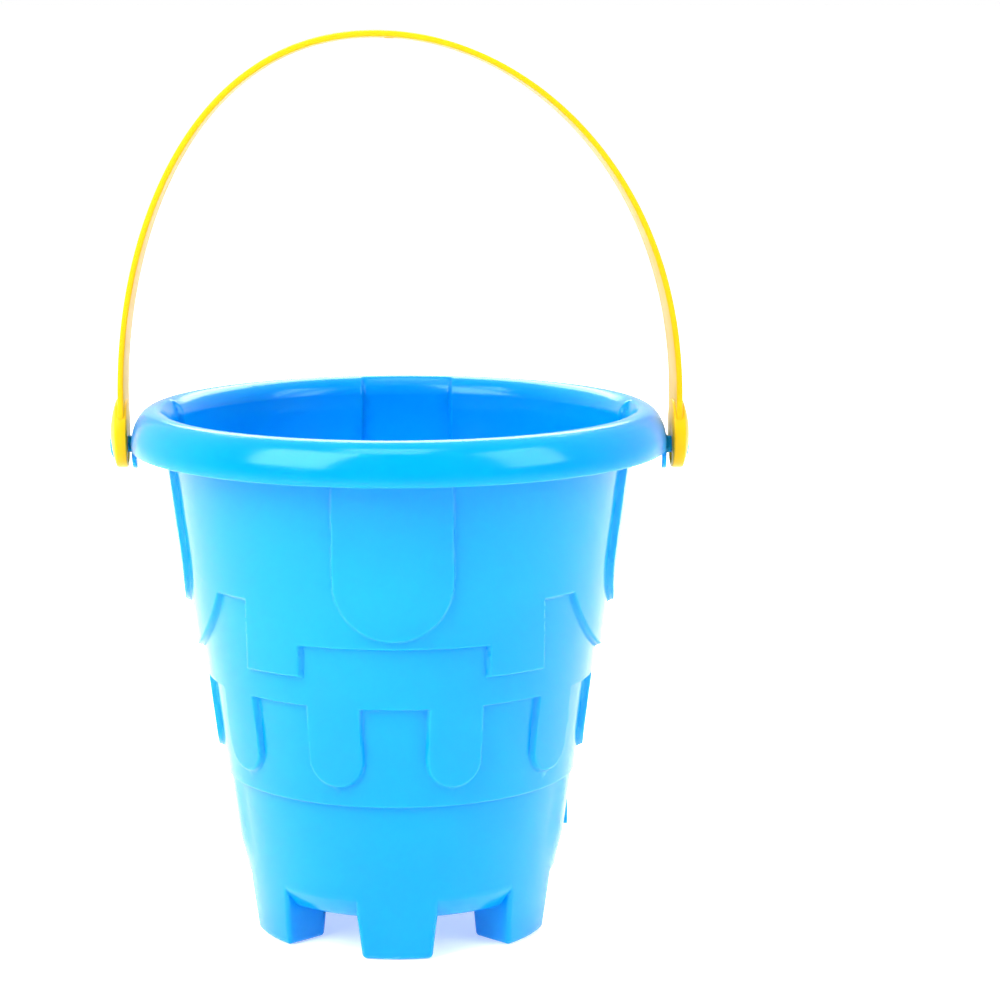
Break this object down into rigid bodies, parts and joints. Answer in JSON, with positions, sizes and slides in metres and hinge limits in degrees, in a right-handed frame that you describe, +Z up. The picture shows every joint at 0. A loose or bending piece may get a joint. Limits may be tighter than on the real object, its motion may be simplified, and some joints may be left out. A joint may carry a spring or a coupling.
{
  "type": "sand bucket",
  "caption": "Moulded plastic beach bucket with castle relief, a rolled rim and hollow tower feet, and a strap bail that swings on two headed pins.",
  "frame": {"origin": "on the ground, on the tub's axis, at the centre of the bounding box's bottom", "axes": "+Z up; the bail's pivot pins lie along X; -Y is the front"},
  "size_m": [0.2344, 0.216, 0.3632],
  "materials": {
    "tub_plastic": "glossy injection-moulded polypropylene, slightly translucent",
    "handle_plastic": "glossy injection-moulded polypropylene"
  },
  "bodies": {
    "tub": {"base_wall": "tub_plastic", "lower_wall": "tub_plastic", "middle_wall": "tub_plastic", "upper_wall": "tub_plastic", "tongues": "tub_plastic", "battlements": "tub_plastic", "lobes": "tub_plastic", "aprons": "tub_plastic", "rim_neck": "tub_plastic", "rim_crest": "tub_plastic", "rim_lip": "tub_plastic", "base_plate": "tub_plastic", "foot_1": "tub_plastic", "foot_2": "tub_plastic", "foot_3": "tub_plastic", "foot_4": "tub_plastic", "foot_5": "tub_plastic", "foot_6": "tub_plastic", "pivot_left": "tub_plastic", "pivot_right": "tub_plastic"},
    "handle": {"handle_strap": "handle_plastic", "handle_eye_left": "handle_plastic", "handle_eye_right": "handle_plastic"}
  },
  "joints": [
    {"name": "handle_swing", "type": "hinge", "parent": "tub", "child": "handle", "pos_m": [0, 0, 0.1977], "axis": [1, 0, 0], "range_deg": [-150, 150]}
  ]
}
